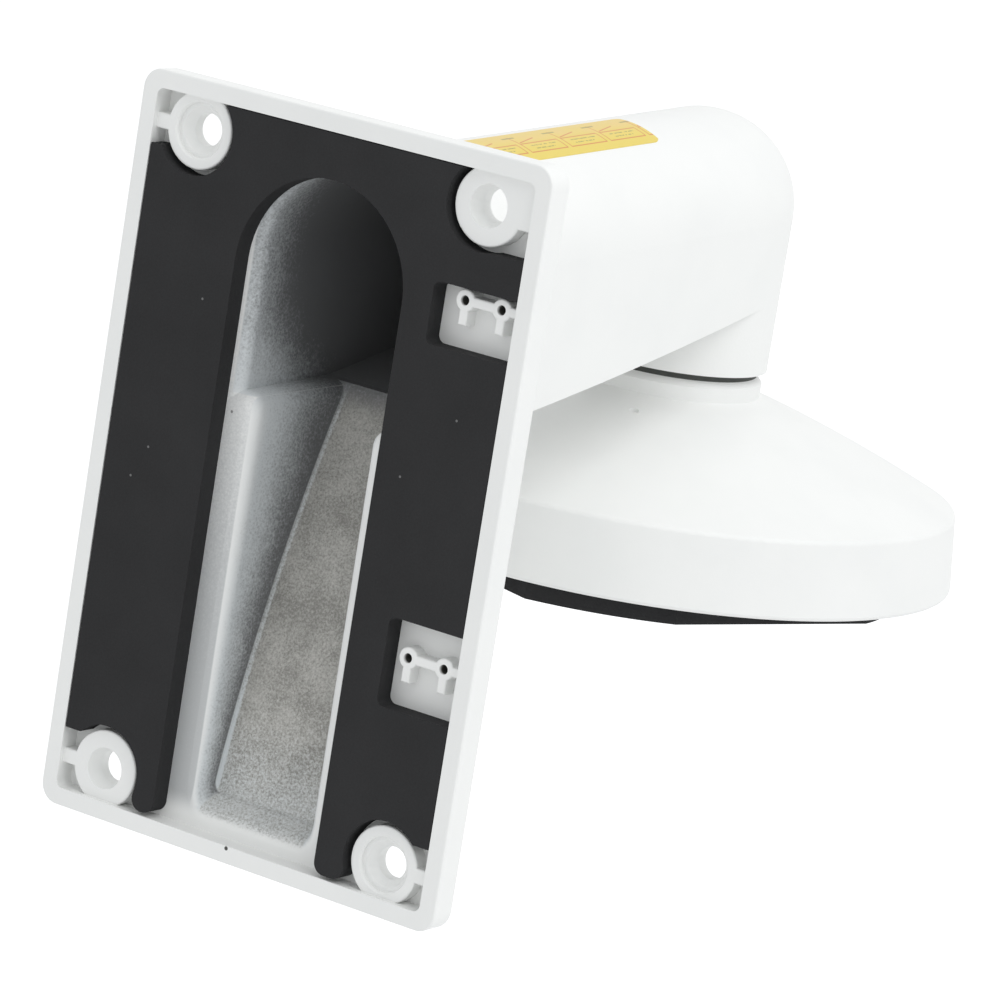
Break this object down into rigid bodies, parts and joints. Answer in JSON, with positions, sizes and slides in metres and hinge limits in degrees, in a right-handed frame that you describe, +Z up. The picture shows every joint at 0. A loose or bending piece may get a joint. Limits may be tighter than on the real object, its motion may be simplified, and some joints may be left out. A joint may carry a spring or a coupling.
{
  "type": "wall bracket",
  "caption": "White cast wall bracket with a hollow arm that turns down into a neck and a round cap that carries a dome camera, with foam pads at the wall and under the cap.",
  "frame": {"origin": "centre of the four wall-screw holes, in the plane of the wall face", "axes": "+X to the right as seen from the room, +Y into the wall, +Z up; the arm reaches out along -Y"},
  "size_m": [0.1656, 0.2482, 0.185],
  "materials": {
    "white_coated_casting": "white powder coat, thin and speckled inside the hollow",
    "black_foam": "matte closed-cell foam",
    "black_rubber": "matte rubber",
    "zinc_plated_steel": "bright zinc plate",
    "yellow_label": "smooth coated label"
  },
  "bodies": {
    "root": {"arm_body": "white_coated_casting", "wall_gasket": "black_foam", "neck_gasket": "black_rubber", "camera_cap": "white_coated_casting", "cap_gasket": "black_foam", "neck_screws": "zinc_plated_steel", "top_label": "yellow_label"}
  },
  "joints": []
}
